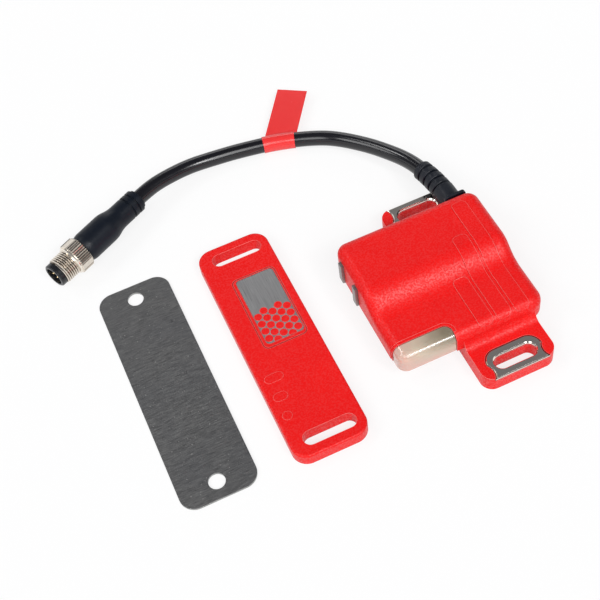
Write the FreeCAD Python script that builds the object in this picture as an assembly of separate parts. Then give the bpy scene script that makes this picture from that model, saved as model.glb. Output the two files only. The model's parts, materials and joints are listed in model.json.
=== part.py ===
import FreeCAD, Part
import math
import os

# A coded non-contact safety switch: a sensor with a moulded lead and round connector,
# its coded actuator and the steel plate that goes behind the actuator, laid out side by side.
# Millimetres. X runs across the sensor to its right, Y along its screw slots to the back, Z up.
# The origin is on the sensor's mounting face, midway between its two screw slots.

V = FreeCAD.Vector

# Mounting strip shared by the ears of the sensor, the actuator and the plate
STRIP_WIDTH = 31.0
STRIP_LENGTH = 108.0
STRIP_CORNER_R = 6.35

# Sensor body, which sits on the strip and overhangs it on both sides
BODY_LEFT_X = -42.6
BODY_RIGHT_X = 20.4
BODY_FRONT_Y = -28.6
BODY_LENGTH = 59.0
BODY_BOTTOM_Z = 7.0
BODY_HIGH = 22.2
BODY_LOW = 16.3
SLOPE_RUN = 16.0
SLOPE_BACK_GAP = 32.2
BODY_EDGE_R = 4.4
FRONT_LEFT_R = 4.6
FRONT_RIGHT_R = 6.0
BACK_RIGHT_R = 5.0
BACK_LEFT_R = 4.6
BODY_WALL = 2.4
PANEL_RAISE = 0.4
PANEL_WIDTH = 6.4
PANEL_PITCH = 7.8
PANEL_STEP = 15.3
PANEL_CORNER_R = 2.0
FIRST_PANEL_SIDE_GAP = 10.0
FIRST_PANEL_BACK_GAP = 5.0

# Ears with their metal inserts and screw slots
EAR_REACH = 16.2
EAR_THICKNESS = 7.3
EAR_CORNER_R = 5.0
FRONT_ROOT_R = 4.2
BACK_ROOT_R = 2.2
SLOT_LENGTH = 17.6
SLOT_WIDTH = 6.2
SLOT_EDGE_MARGIN = 5.95
INSERT_WIDTH = 23.4
INSERT_DEPTH = 12.2
INSERT_CORNER_R = 5.4
INSERT_NOTCH_SAG = 1.1
INSERT_THICKNESS = 1.6
INSERT_PROUD = 0.2
INSERT_CHAMFER = 0.45

# Light pipe in the front left corner
LIGHT_EAR_GAP = 2.9
LIGHT_DEPTH = 7.5
LIGHT_CORNER_R = 3.2
LIGHT_SINK = 0.5
LIGHT_RIM = 1.2
LIGHT_RIM_STEP = 0.25
LIGHT_RIM_SETBACK = 3.2
LIGHT_TONGUE_WIDTH = 12.0
LIGHT_TONGUE_HEIGHT = 3.4
LIGHT_TONGUE_SETBACK = 9.0

# Parts inside the sensor
FIT_GAP = 0.15
COVER_THICKNESS = 1.8
BOARD_THICKNESS = 1.6
BOARD_LIFT = 0.8
BOARD_LEFT_GAP = 6.6
BOARD_RIGHT_GAP = 1.6
BOARD_FRONT_GAP = 1.8
BOARD_BACK_GAP = 3.4
BOARD_POST_R = 2.5
BOARD_PIN_R = 1.0
BOARD_PIN_PROUD = 0.3
BOARD_POST_INSET = 4.0
BOARD_CHIPS = [
    (0.0, 2.0, 10.0, 10.0, 1.5), (-14.0, 0.0, 6.0, 5.0, 1.4),
    (13.0, -8.0, 4.0, 5.0, 1.7), (13.0, -1.0, 4.0, 5.0, 1.7),
]
LED_WIDTH = 3.2
LED_DEPTH = 2.8
LED_HEIGHT = 1.9
LED_SPACING = 6.0
LED_LIGHT_GAP = 0.3
POLE_BACK_MARGIN = 6.5
POLE_THICKNESS = 2.8
POLE_GAP = 9.9
POLE_PROUD = 1.2
POLE_EDGE_R = 0.9
POLE_REACH = 4.9
POLE_HEIGHT = 10.9
CORE_R = 3.6
CORE_DEPTH = 4.6
CORE_FLOOR = 1.4
CORE_RIM = 0.8
CORE_POST_R = 1.3
CORE_POLE_GAP = 1.8
CORE_WALL_GAP = 0.1

# Cable, its boot and its flag label
CABLE_R = 3.4
BOOT_X = 12.5
BOOT_Z = 12.4
BOOT_BASE_R = 4.8
BOOT_END_R = 4.4
BOOT_CORE_R = 3.7
BOOT_BASE_LENGTH = 5.6
BOOT_BEND_R = 85.6
BOOT_BEND_DEG = 14.0
BOOT_BEND_TILT_DEG = 31.7
BOOT_NECK_R = 4.2
BOOT_COLLAR_R = 4.8
BOOT_COLLAR_LENGTH = 1.4
BOOT_PLAIN_SHARE = 0.25
BOOT_RIB_COUNT = 4
BOOT_RIB_SHARE = 0.72
BOOT_RIB_CHAMFER = 0.25
BOOT_END_LIP = 0.2
BOOT_TONGUE_WIDTH = 9.4
BOOT_TONGUE_TOP_Z = 20.8
BOOT_TONGUE_THICKNESS = 1.2
WIRE_R = 0.5
WIRE_SPACING = 1.6
WIRE_COUNT = 4
WIRE_RUN = 4.6
LABEL_GAP = 0.05
LABEL_THICKNESS = 0.3
LABEL_FLAG_WIDTH = 14.0
LABEL_FLAG_LENGTH = 32.5
LABEL_FLAG_TURN_DEG = -17.0

# Connector: places along its axis are measured from the cable end
PLUG_END = V(-103.9, 104.9, 7.4)
PLUG_YAW_DEG = 206.8
PLUG_RIB_R = 5.3
PLUG_RIB_COUNT = 3
PLUG_RIB_PITCH = 3.0
PLUG_GROOVE_WIDTH = 1.1
PLUG_GROOVE_DEPTH = 0.8
PLUG_TAPER_START = 12.0
PLUG_GRIP_START = 20.6
PLUG_GRIP_R = 6.65
PLUG_GRIP_END = 34.2
PLUG_NOSE_LENGTH = 3.2
PLUG_NOSE_R = 5.9
PLUG_CORE_R = 4.5
NUT_GAP = 0.3
NUT_KNURL_R = 7.35
NUT_KNURL_END = 40.6
NUT_COLLAR_R = 6.6
NUT_COLLAR_END = 41.6
THREAD_R = 6.0
NUT_END = 48.6
NUT_RUN_GAP = 0.05
NUT_CHAMFER = 0.4
NUT_FLAT_R = 6.8
NUT_FLAT_COUNT = 3
NUT_FLAT_TURN_DEG = 30.0
CARRIER_START = 40.0
CARRIER_HEAD_R = 5.4
CARRIER_END = 51.2
CARRIER_CUP_R = 4.1
CARRIER_CUP_FLOOR = 44.0
PIN_R = 0.5
PIN_CIRCLE_R = 2.75
PIN_RING_COUNT = 7
PIN_TIP = 50.0
CORD_FIRST_RUN = 5.5
CORD_LAST_RUN = 6.7
LABEL_POINT = V(-35.0, 108.5, 3.9)
CORD_MIDDLE = [
    V(6.9, 68.4, 9.4), V(3.4, 75.3, 8.3), V(-2.0, 84.4, 6.9), V(-11.4, 96.0, 5.1),
    V(-20.0, 102.3, 4.3), LABEL_POINT, V(-53.0, 112.3, 3.85), V(-65.2, 113.4, 4.3),
    V(-77.2, 113.4, 5.5), V(-90.1, 110.6, 6.9),
]

# Actuator and plate
ACTUATOR_X = -77.2
ACTUATOR_Y = 10.6
ACTUATOR_THICKNESS = 5.8
ACTUATOR_EDGE_R = 0.9
ACTUATOR_SLOT_LENGTH = 21.8
ACTUATOR_SLOT_X = 1.0
ACTUATOR_SLOT_WIDTH = 6.2
ACTUATOR_SLOT_MARGIN = 7.2
INLAY_X = 2.95
INLAY_Y = 15.9
INLAY_WIDTH = 16.2
INLAY_LENGTH = 34.4
INLAY_CORNER_R = 1.5
INLAY_THICKNESS = 0.5
INLAY_SINK = 0.15
PAD_LEFT_MARGIN = 1.85
PAD_RIGHT_MARGIN = 0.95
PAD_FRONT_MARGIN = 2.1
PAD_BACK_MARGIN = 0.95
PAD_GROOVE_WIDTH = 0.4
PAD_GROOVE_DEPTH = 0.4
PAD_TAB_WIDTH = 1.4
PAD_TAB_PLACES = [(-0.5, 0.28), (0.5, 0.28), (0.5, -0.26), (0.0, 0.5), (0.15, -0.5)]
MARK_LEFT_X = -12.9
MARK_WIDTH = 3.9
MARK_RAISE = 0.2
MARK_PITCH = 8.9
MARK_SHORTENING = 1.95
MARK_FIRST_Y = -16.6
TAG_POCKET_WIDTH = 22.0
TAG_POCKET_LENGTH = 66.0
TAG_POCKET_DEPTH = 3.3
TAG_POCKET_R = 3.0
TAG_COVER_THICKNESS = 1.0
TAG_BOARD_THICKNESS = 0.8
TAG_COIL_WIDTH = 2.4
TAG_COIL_MARGIN = 1.2
TAG_COIL_THICKNESS = 0.3
TAG_CHIP_SIDE = 5.0
TAG_CHIP_HEIGHT = 0.9
PLATE_X = -122.2
PLATE_Y = 12.4
PLATE_THICKNESS = 1.0
PLATE_HOLE_R = 3.35
PLATE_HOLE_MARGIN = 7.25

# Sizes that follow from the ones above
BODY_BACK_Y = BODY_FRONT_Y + BODY_LENGTH
SLOPE_MIDDLE_Y = BODY_BACK_Y - SLOPE_BACK_GAP
EAR_SPAN = 2 * (BODY_BACK_Y + EAR_REACH)
EAR_LEFT_X = -STRIP_WIDTH / 2
FIRST_PANEL_X = BODY_RIGHT_X - FIRST_PANEL_SIDE_GAP
FIRST_PANEL_BACK_Y = BODY_BACK_Y - FIRST_PANEL_BACK_GAP
LIGHT_RIGHT_X = EAR_LEFT_X - LIGHT_EAR_GAP
LIGHT_TONGUE_X = LIGHT_RIGHT_X - LIGHT_TONGUE_SETBACK
LIGHT_BACK_Y = BODY_FRONT_Y + LIGHT_DEPTH
SLOT_Y = EAR_SPAN / 2 - SLOT_EDGE_MARGIN
ACTUATOR_SLOT_Y = STRIP_LENGTH / 2 - ACTUATOR_SLOT_MARGIN
PLATE_HOLE_Y = STRIP_LENGTH / 2 - PLATE_HOLE_MARGIN
COVER_TOP_Z = BODY_BOTTOM_Z + COVER_THICKNESS
BOARD_Z = COVER_TOP_Z + BOARD_LIFT
BOARD_TOP_Z = BOARD_Z + BOARD_THICKNESS
LIGHT_TONGUE_Z = BOARD_Z
CAVITY_LEFT_X = BODY_LEFT_X + BODY_WALL
CAVITY_RIGHT_X = BODY_RIGHT_X - BODY_WALL
CAVITY_BACK_Y = BODY_BACK_Y - BODY_WALL
CAVITY_FRONT_Y = BODY_FRONT_Y + BODY_WALL
CAVITY_STEP_X = LIGHT_RIGHT_X + BODY_WALL
CAVITY_LIGHT_Y = LIGHT_BACK_Y + BODY_WALL
BOARD_LEFT_X = CAVITY_LEFT_X + BOARD_LEFT_GAP
BOARD_RIGHT_X = CAVITY_RIGHT_X - BOARD_RIGHT_GAP
BOARD_FRONT_Y = CAVITY_LIGHT_Y + BOARD_FRONT_GAP
BOARD_BACK_Y = CAVITY_BACK_Y - BOARD_BACK_GAP
POLE_INNER_X = CAVITY_LEFT_X + POLE_REACH
POLE_FRONT_Y = BODY_BACK_Y - POLE_BACK_MARGIN - 2 * POLE_THICKNESS - POLE_GAP
POLE_TOP_Z = BODY_BOTTOM_Z + POLE_HEIGHT
CORE_Y = POLE_FRONT_Y - CORE_POLE_GAP - CORE_R
CORE_Z = COVER_TOP_Z + CORE_WALL_GAP + CORE_R
BACK_ROOT_TOP_Z = EAR_THICKNESS + BACK_ROOT_R + FIT_GAP
BOOT_BEND_START_Y = BODY_BACK_Y + BOOT_BASE_LENGTH
FAR = 200.0


def box(x0, x1, y0, y1, z0, z1):
    """Box between two corners."""
    return Part.makeBox(x1 - x0, y1 - y0, z1 - z0, V(x0, y0, z0))


def rounded_plate(width, length, radius, z0, z1, x=0.0, y=0.0):
    """Flat plate with rounded corners, centred on x, y."""
    plate = box(x - width / 2, x + width / 2, y - length / 2, y + length / 2, z0, z1)
    corners = [e for e in plate.Edges if abs(e.tangentAt(e.FirstParameter).z) > 0.5]
    return plate.makeFillet(radius, corners)


def obround(length, width, z0, z1, x=0.0, y=0.0):
    """Slot-shaped solid with round ends, its long way along X."""
    r = width / 2
    half = length / 2 - r
    sides = [
        Part.LineSegment(V(x - half, y - r, z0), V(x + half, y - r, z0)),
        Part.Arc(V(x + half, y - r, z0), V(x + half + r, y, z0), V(x + half, y + r, z0)),
        Part.LineSegment(V(x + half, y + r, z0), V(x - half, y + r, z0)),
        Part.Arc(V(x - half, y + r, z0), V(x - half - r, y, z0), V(x - half, y - r, z0)),
    ]
    wire = Part.Wire([side.toShape() for side in sides])
    return Part.Face(wire).extrude(V(0, 0, z1 - z0))


def turned(profile):
    """Solid of revolution about the X axis from points (place along X, radius).

    A point that carries two more numbers is reached by an arc through that middle place and radius.
    """
    edges = []
    last = V(profile[-1][0], 0, profile[-1][1])
    for s, r, *middle in profile:
        here = V(s, 0, r)
        if middle:
            edges.append(Part.Arc(last, V(middle[0], 0, middle[1]), here).toShape())
        else:
            edges.append(Part.LineSegment(last, here).toShape())
        last = here
    return Part.Face(Part.Wire(edges)).revolve(V(0, 0, 0), V(1, 0, 0), 360)


def s_curve(s0, r0, s1, r1):
    """Two profile arcs that swing from radius r0 at s0 to r1 at s1, level at both ends."""
    half_turn = math.atan2(abs(r1 - r0), s1 - s0)
    arc_r = (s1 - s0) / (2 * math.sin(2 * half_turn))
    along = arc_r * math.sin(half_turn)
    rise = math.copysign(arc_r * (1 - math.cos(half_turn)), r1 - r0)
    return [((s0 + s1) / 2, (r0 + r1) / 2, s0 + along, r0 + rise), (s1, r1, s1 - along, r1 - rise)]


def nose_curve(s0, r0, s1, r1):
    """One profile arc that leaves radius r0 level at s0 and falls to r1 at s1."""
    half_turn = math.atan2(r0 - r1, s1 - s0)
    arc_r = (s1 - s0) / math.sin(2 * half_turn)
    return [(s1, r1, s0 + arc_r * math.sin(half_turn), r0 - arc_r * (1 - math.cos(half_turn)))]


def placed(shape, origin, yaw_deg):
    """Shape turned about Z and carried to origin."""
    matrix = FreeCAD.Placement(origin, FreeCAD.Rotation(V(0, 0, 1), yaw_deg)).toMatrix()
    return shape.transformed(matrix, copy=True)


def fused(shapes):
    """One solid from shapes that overlap or share faces."""
    return shapes[0].multiFuse(shapes[1:]).removeSplitter()


def save(name, shape):
    """Write one sub-part."""
    shape.exportStep(os.path.join("parts", name + ".step"))


# Sensor body from its side outline
def profile_arc(y, z, radius, start_deg, end_deg):
    """Arc in the Y-Z plane, angles measured from +Y towards +Z."""
    def point(deg):
        angle = math.radians(deg)
        return V(0, y + radius * math.cos(angle), z + radius * math.sin(angle))
    return Part.Arc(point(start_deg), point((start_deg + end_deg) / 2), point(end_deg))


def slope_arcs(inset):
    """The two arcs of the body's S-shaped slope, moved in by inset, from the back to the front."""
    slope_deg = 2 * math.degrees(math.atan2(BODY_HIGH - BODY_LOW, SLOPE_RUN))
    slope_r = SLOPE_RUN / (2 * math.sin(math.radians(slope_deg)))
    back, front = SLOPE_MIDDLE_Y + SLOPE_RUN / 2, SLOPE_MIDDLE_Y - SLOPE_RUN / 2
    return [
        profile_arc(back, BODY_HIGH - slope_r, slope_r - inset, 90, 90 + slope_deg),
        profile_arc(front, BODY_LOW + slope_r, slope_r + inset, 270 + slope_deg, 270),
    ]


def profile_prism(x0, x1, front_y, inset, edge_r, floor_z):
    """The body's side outline, moved in by inset, swept from x0 to x1; edge_r rounds its top ends."""
    high, low = BODY_HIGH - inset, BODY_LOW - inset
    back, front = BODY_BACK_Y - inset, front_y + inset
    curves = slope_arcs(inset)
    if edge_r:
        curves.insert(0, profile_arc(back - edge_r, high - edge_r, edge_r, 0, 90))
        curves.append(profile_arc(front + edge_r, low - edge_r, edge_r, 90, 180))
        corners = []
    else:
        corners = [V(0, back, high), V(0, front, low)]
    points = [V(0, back, floor_z)] + corners[:1]
    edges = []
    last = points[0]
    for point in points[1:]:
        edges.append(Part.LineSegment(last, point).toShape())
        last = point
    for curve in curves:
        if last.distanceToPoint(curve.StartPoint) > 1e-6:
            edges.append(Part.LineSegment(last, curve.StartPoint).toShape())
        edges.append(curve.toShape())
        last = curve.EndPoint
    for point in corners[1:] + [V(0, front, floor_z), points[0]]:
        edges.append(Part.LineSegment(last, point).toShape())
        last = point
    face = Part.Face(Part.Wire(edges))
    face.translate(V(x0, 0, 0))
    return face.extrude(V(x1 - x0, 0, 0))


def body_plan(inset):
    """The body's outline from above, moved in by inset, with a radius of its own at each corner."""
    x0, x1 = BODY_LEFT_X + inset, BODY_RIGHT_X - inset
    y0, y1 = BODY_FRONT_Y + inset, BODY_BACK_Y - inset
    plan = box(x0, x1, y0, y1, BODY_BOTTOM_Z - 1, BODY_HIGH + 1)
    corner_radii = {
        (x0, y0): FRONT_LEFT_R, (x1, y0): FRONT_RIGHT_R, (x1, y1): BACK_RIGHT_R, (x0, y1): BACK_LEFT_R}
    for (x, y), radius in corner_radii.items():
        edges = [e for e in plan.Edges if all(math.hypot(v.X - x, v.Y - y) < 1e-6 for v in e.Vertexes)]
        plan = plan.makeFillet(radius - inset, edges)
    return plan


def body_form(inset):
    """The body's outer form, moved in by inset, with its top edge rounded all the way round."""
    prism = profile_prism(BODY_LEFT_X - 1, BODY_RIGHT_X + 1, BODY_FRONT_Y, inset, 0, BODY_BOTTOM_Z)
    plan = body_plan(inset)
    form = prism.common(plan)
    sides = [f for f in plan.Faces if f.BoundBox.ZLength > 1]
    outline = Part.makeShell(sides)
    rim = []
    for edge in form.Edges:
        middle = edge.valueAt((edge.FirstParameter + edge.LastParameter) / 2)
        on_side = outline.distToShape(Part.Vertex(middle))[0] < 1e-4
        if on_side and edge.BoundBox.ZMin > BODY_LOW - inset - 1e-3:
            rim.append(edge)
    return form.makeFillet(BODY_EDGE_R - inset, rim)


def cavity_plan(grow, z0, z1):
    """Prism of the hollow's plan, grown outwards by grow."""
    back = CAVITY_BACK_Y + grow
    left = box(CAVITY_LEFT_X - grow, CAVITY_RIGHT_X + grow, CAVITY_LIGHT_Y - grow, back, z0, z1)
    right = box(CAVITY_STEP_X - grow, CAVITY_RIGHT_X + grow, CAVITY_FRONT_Y - grow, back, z0, z1)
    return fused([left, right])


def cavity():
    """Hollow of the body, one wall inside its outer form and open at the bottom."""
    x0, x1 = CAVITY_LEFT_X, CAVITY_RIGHT_X
    edge_r = BODY_EDGE_R - BODY_WALL
    below = profile_prism(x0, x1, BODY_FRONT_Y, BODY_WALL, edge_r, -1.0)
    return below.common(cavity_plan(0, -1.0, BODY_HIGH))


def raised_panels():
    """Three nested rounded panels that run down the top to the front edge."""
    panels = []
    for i in range(3):
        x = FIRST_PANEL_X - i * PANEL_PITCH
        back = FIRST_PANEL_BACK_Y - i * PANEL_STEP
        front = BODY_FRONT_Y + BODY_EDGE_R / 8
        middle = (back + front) / 2
        outline = rounded_plate(PANEL_WIDTH, back - front, PANEL_CORNER_R, 0, BODY_HIGH + 1, x, middle)
        x0, x1 = x - PANEL_WIDTH, x + PANEL_WIDTH
        outer_r, inner_r = BODY_EDGE_R + PANEL_RAISE, BODY_EDGE_R - BODY_WALL / 2
        outer = profile_prism(x0, x1, BODY_FRONT_Y, -PANEL_RAISE, outer_r, BODY_BOTTOM_Z)
        inner = profile_prism(x0 - 1, x1 + 1, BODY_FRONT_Y, BODY_WALL / 2, inner_r, 0)
        panels.append(outer.cut(inner).common(outline))
    return panels


# Ears, inserts and screw slots
def insert_outline(grow, z0, z1):
    """Insert of the front ear, grown by a clearance: arched inside, flared at the ear's edge."""
    edge_y = -EAR_SPAN / 2
    half = INSERT_WIDTH / 2
    back = edge_y + INSERT_DEPTH
    r = INSERT_CORNER_R
    neck = back - r
    waist = half - INSERT_NOTCH_SAG
    waist_y = (edge_y + neck) / 2
    c = r * math.sqrt(0.5)
    sides = [
        Part.LineSegment(V(-half, edge_y, z0), V(half, edge_y, z0)),
        Part.Arc(V(half, edge_y, z0), V(waist, waist_y, z0), V(half, neck, z0)),
        Part.Arc(V(half, neck, z0), V(half - r + c, neck + c, z0), V(half - r, back, z0)),
        Part.LineSegment(V(half - r, back, z0), V(r - half, back, z0)),
        Part.Arc(V(r - half, back, z0), V(r - half - c, neck + c, z0), V(-half, neck, z0)),
        Part.Arc(V(-half, neck, z0), V(-waist, waist_y, z0), V(-half, edge_y, z0)),
    ]
    face = Part.Face(Part.Wire([side.toShape() for side in sides]))
    if grow:
        face = face.makeOffset2D(grow)
    return face.extrude(V(0, 0, z1 - z0))


def half_turned(shape):
    """The same piece on the other ear."""
    return placed(shape, V(0, 0, 0), 180)


def front_insert():
    """Plated metal plate let into the ear, with the screw slot through it."""
    top = EAR_THICKNESS + INSERT_PROUD
    plate = insert_outline(0, top - INSERT_THICKNESS, top)
    plate = plate.cut(obround(SLOT_LENGTH, SLOT_WIDTH, -1, top + 1, 0, -SLOT_Y))
    rim = [e for e in plate.Edges if all(abs(v.Z - top) < 1e-6 for v in e.Vertexes)]
    return plate.makeChamfer(INSERT_CHAMFER, rim)


def pole_blocks(grow):
    """The two pole shoes as boxes, grown by a clearance."""
    z0, z1 = BODY_BOTTOM_Z - grow, POLE_TOP_Z + grow
    x0, x1 = BODY_LEFT_X - POLE_PROUD, POLE_INNER_X + grow
    starts = [POLE_FRONT_Y, POLE_FRONT_Y + POLE_THICKNESS + POLE_GAP]
    return [box(x0, x1, y - grow, y + POLE_THICKNESS + grow, z0, z1) for y in starts]


def pole_shoes():
    """The two pole shoes, rounded at the lower edge of their outer ends."""
    shoes = []
    for block in pole_blocks(0):
        x, z = block.BoundBox.XMin, block.BoundBox.ZMin
        edge = [e for e in block.Edges if all(math.hypot(v.X - x, v.Z - z) < 1e-6 for v in e.Vertexes)]
        shoes.append(block.makeFillet(POLE_EDGE_R, edge))
    return Part.makeCompound(shoes)


def light_region(grow):
    """Corner of the body that the light pipe fills, grown by a margin."""
    x, y = LIGHT_RIGHT_X + grow, LIGHT_BACK_Y + grow
    region = box(BODY_LEFT_X - FAR, x, BODY_FRONT_Y - FAR, y, 0, BODY_HIGH)
    corner = [e for e in region.Edges if all(math.hypot(v.X - x, v.Y - y) < 1e-6 for v in e.Vertexes)]
    return region.makeFillet(LIGHT_CORNER_R + grow, corner)


def light_tongue(grow):
    """Tongue of the light pipe that reaches through the wall to the lamps."""
    half = LIGHT_TONGUE_WIDTH / 2 + grow
    end = BOARD_FRONT_Y - LED_LIGHT_GAP if not grow else CAVITY_LIGHT_Y + 1
    return box(LIGHT_TONGUE_X - half, LIGHT_TONGUE_X + half, LIGHT_BACK_Y - 1, end,
               LIGHT_TONGUE_Z - grow, LIGHT_TONGUE_Z + LIGHT_TONGUE_HEIGHT + grow)


def sensor_housing():
    """Moulded shell on a strip with two ears, hollow and open below."""
    strip = rounded_plate(STRIP_WIDTH, EAR_SPAN, EAR_CORNER_R, 0, EAR_THICKNESS)
    body = body_form(0)
    shell = fused([body, strip])
    for wall_y, root_r in ((BODY_FRONT_Y, FRONT_ROOT_R), (BODY_BACK_Y, BACK_ROOT_R)):
        roots = []
        for edge in shell.Edges:
            ends = edge.Vertexes
            on_root = all(abs(v.Z - EAR_THICKNESS) + abs(v.Y - wall_y) < 1e-6 for v in ends)
            if on_root and abs(ends[0].X - ends[-1].X) > 1:
                roots.append(edge)
        shell = shell.makeFillet(root_r, roots)
    shell = fused([shell] + raised_panels())
    rim_end = BODY_FRONT_Y + LIGHT_RIM_SETBACK
    rim = body.cut(body_form(LIGHT_RIM_STEP)).common(light_region(LIGHT_RIM))
    rim = rim.common(box(-FAR, FAR, rim_end, FAR, 0, FAR))
    pocket_z = EAR_THICKNESS + INSERT_PROUD - INSERT_THICKNESS
    pocket = insert_outline(FIT_GAP, pocket_z, EAR_THICKNESS + 1)
    slot = obround(SLOT_LENGTH, SLOT_WIDTH, -1, EAR_THICKNESS + 1, 0, -SLOT_Y)
    boot_start = V(BOOT_X, CAVITY_BACK_Y - 1, BOOT_Z)
    boot_hole = Part.makeCylinder(BOOT_NECK_R + FIT_GAP, 2 * BODY_WALL, boot_start, V(0, 1, 0))
    cuts = [cavity(), light_region(0), rim, light_tongue(FIT_GAP), boot_hole]
    cuts += [pocket, half_turned(pocket), slot, half_turned(slot)]
    for tool in cuts + pole_blocks(FIT_GAP):
        shell = shell.cut(tool)
    return shell.removeSplitter()


def light_pipe():
    """Milky light pipe: the body's front left corner, a little sunk, with a tongue to the lamps."""
    head = body_form(LIGHT_SINK).common(light_region(-FIT_GAP))
    return fused([head, light_tongue(0)])


def post_places():
    """Board posts, one near each corner of the board."""
    xs = (BOARD_LEFT_X + BOARD_POST_INSET, BOARD_RIGHT_X - BOARD_POST_INSET)
    ys = (BOARD_FRONT_Y + BOARD_POST_INSET, BOARD_BACK_Y - BOARD_POST_INSET)
    return [(x, y) for x in xs for y in ys]


def sensor_base_cover():
    """Cover in the opening below, with the strip's middle as its foot and pins that carry the board."""
    plate = cavity_plan(-FIT_GAP, BODY_BOTTOM_Z, COVER_TOP_Z)
    foot = box(EAR_LEFT_X, -EAR_LEFT_X, CAVITY_FRONT_Y + FIT_GAP, CAVITY_BACK_Y - FIT_GAP, 0, COVER_TOP_Z)
    cover = fused([plate, foot])
    for x, y in post_places():
        post = Part.makeCylinder(BOARD_POST_R, BOARD_Z - BODY_BOTTOM_Z, V(x, y, BODY_BOTTOM_Z))
        pin_top = BOARD_TOP_Z + BOARD_PIN_PROUD
        pin = Part.makeCylinder(BOARD_PIN_R, pin_top - BODY_BOTTOM_Z, V(x, y, BODY_BOTTOM_Z))
        cover = fused([cover, post, pin])
    collar_y = CAVITY_BACK_Y - BOOT_COLLAR_LENGTH - FIT_GAP
    collar_space = Part.makeCylinder(BOOT_COLLAR_R + FIT_GAP, FAR, V(BOOT_X, collar_y, BOOT_Z), V(0, 1, 0))
    for tool in pole_blocks(FIT_GAP) + [collar_space]:
        cover = cover.cut(tool)
    return cover.removeSplitter()


def circuit_board():
    """Rectangular board, holed for the cover's pins."""
    board = box(BOARD_LEFT_X, BOARD_RIGHT_X, BOARD_FRONT_Y, BOARD_BACK_Y, BOARD_Z, BOARD_TOP_Z)
    for x, y in post_places():
        board = board.cut(Part.makeCylinder(BOARD_PIN_R + FIT_GAP, FAR, V(x, y, -1)))
    return board


def board_chips():
    """Controller, radio front end and two output drivers, placed from the board's middle."""
    middle_x = (BOARD_LEFT_X + BOARD_RIGHT_X) / 2
    middle_y = (BOARD_FRONT_Y + BOARD_BACK_Y) / 2
    solids = []
    for dx, dy, width, length, height in BOARD_CHIPS:
        chip = Part.makeBox(width, length, height)
        chip.translate(V(middle_x + dx - width / 2, middle_y + dy - length / 2, BOARD_TOP_Z))
        solids.append(chip)
    return Part.makeCompound(solids)


def indicator_leds():
    """Status and diagnostic lamps at the board's front edge, facing the light pipe."""
    solids = []
    for side in (-0.5, 0.5):
        x = LIGHT_TONGUE_X + side * LED_SPACING
        solids.append(box(x - LED_WIDTH / 2, x + LED_WIDTH / 2, BOARD_FRONT_Y, BOARD_FRONT_Y + LED_DEPTH,
                          BOARD_TOP_Z, BOARD_TOP_Z + LED_HEIGHT))
    return Part.makeCompound(solids)


def antenna_core():
    """Ferrite pot core with its open face to the left wall."""
    rim_r, post_r, floor = CORE_R - CORE_RIM, CORE_POST_R, CORE_DEPTH - CORE_FLOOR
    core = turned([(0, 0), (0, post_r), (floor, post_r), (floor, rim_r), (0, rim_r), (0, CORE_R),
                   (CORE_DEPTH, CORE_R), (CORE_DEPTH, 0)])
    return placed(core, V(CAVITY_LEFT_X + CORE_WALL_GAP, CORE_Y, CORE_Z), 0)


def antenna_coil():
    """Copper winding in the core's groove."""
    inner = CORE_POST_R + FIT_GAP
    outer = CORE_R - CORE_RIM - FIT_GAP
    depth = CORE_DEPTH - CORE_FLOOR
    coil = turned([(FIT_GAP, inner), (FIT_GAP, outer), (depth, outer), (depth, inner)])
    return placed(coil, V(CAVITY_LEFT_X + CORE_WALL_GAP, CORE_Y, CORE_Z), 0)


def holding_magnet():
    """Magnet block gripped between the pole shoes."""
    y0 = POLE_FRONT_Y + POLE_THICKNESS
    z0 = COVER_TOP_Z + FIT_GAP
    return box(CAVITY_LEFT_X + FIT_GAP, POLE_INNER_X, y0, y0 + POLE_GAP, z0, POLE_TOP_Z)


# Cable boot, wires, cord and label
def boot_point(share):
    """Place and direction on the boot's bent axis, share 0 at the bend's start and 1 at its end."""
    turn = math.radians(BOOT_BEND_DEG) * share
    tilt = math.radians(BOOT_BEND_TILT_DEG)
    ahead, aside = V(0, 1, 0), V(-math.cos(tilt), 0, -math.sin(tilt))
    start = V(BOOT_X, BOOT_BEND_START_Y, BOOT_Z)
    place = start + (ahead * math.sin(turn) + aside * (1 - math.cos(turn))) * BOOT_BEND_R
    return place, ahead * math.cos(turn) + aside * math.sin(turn)


BOOT_END, BOOT_EXIT = boot_point(1.0)
PLUG_YAW = math.radians(PLUG_YAW_DEG)
PLUG_ENTRY = PLUG_END - V(math.cos(PLUG_YAW), math.sin(PLUG_YAW), 0) * CORD_LAST_RUN
CORD_ROUTE = [BOOT_END, BOOT_END + BOOT_EXIT * CORD_FIRST_RUN] + CORD_MIDDLE + [PLUG_ENTRY, PLUG_END]


def aimed(shape, origin, direction):
    """Shape built along X, turned to a direction and carried to origin."""
    matrix = FreeCAD.Placement(origin, FreeCAD.Rotation(V(1, 0, 0), direction)).toMatrix()
    return shape.transformed(matrix, copy=True)


def ribbed(start, count, pitch, radius, groove_width, groove_depth):
    """Outline points of a ribbed stretch, from its first groove on."""
    points = []
    for i in range(count):
        s = start + i * pitch
        low = radius - groove_depth
        points += [(s, radius), (s, low), (s + groove_width, low), (s + groove_width, radius)]
    return points


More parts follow.
